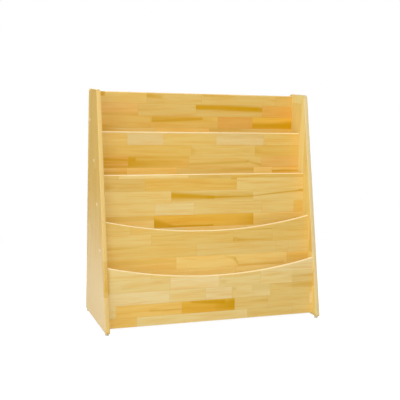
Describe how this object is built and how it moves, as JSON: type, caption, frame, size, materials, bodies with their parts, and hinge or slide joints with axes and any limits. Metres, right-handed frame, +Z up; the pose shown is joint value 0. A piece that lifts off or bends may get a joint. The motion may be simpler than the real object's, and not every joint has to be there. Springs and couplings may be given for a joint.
{
  "type": "bookshelf",
  "caption": "Children's front-facing wooden bookshelf: tapered side panels carry stepped, slightly leaning display panels with a shallow book pocket behind each lip.",
  "frame": {"origin": "middle of the footprint, on the floor", "axes": "+X along the width to the right side panel, +Y to the back, +Z up; books face -Y"},
  "size_m": [0.803, 0.31, 0.805],
  "materials": {
    "side_wood": "finger-jointed pine under clear satin lacquer, staves upright",
    "panel_wood": "finger-jointed pine under clear satin lacquer, staves along the width",
    "shelf_wood": "the same jointed board, clear satin lacquer",
    "dowel_wood": "bare turned beech",
    "cap_wood": "turned birch, clear satin lacquer",
    "zinc_steel": "zinc plated",
    "glide_nylon": "moulded, matt pale grey"
  },
  "bodies": {
    "root": {"left_side_panel": "side_wood", "right_side_panel": "side_wood", "top_back_panel": "panel_wood", "upper_display_panel": "panel_wood", "middle_display_panel": "panel_wood", "lower_display_panel": "panel_wood", "front_panel": "panel_wood", "top_pocket_shelf": "shelf_wood", "upper_pocket_shelf": "shelf_wood", "lower_pocket_shelf": "shelf_wood", "front_pocket_shelf": "shelf_wood", "rear_rail": "shelf_wood", "left_panel_dowels": "dowel_wood", "right_panel_dowels": "dowel_wood", "left_shelf_dowels": "dowel_wood", "right_shelf_dowels": "dowel_wood", "left_rail_dowels": "dowel_wood", "right_rail_dowels": "dowel_wood", "shelf_front_dowels": "dowel_wood", "left_screw_caps": "cap_wood", "right_screw_caps": "cap_wood", "left_side_screws": "zinc_steel", "right_side_screws": "zinc_steel", "shelf_screws": "zinc_steel", "front_left_glide": "glide_nylon", "front_right_glide": "glide_nylon", "rear_left_glide": "glide_nylon", "rear_right_glide": "glide_nylon"}
  },
  "joints": []
}
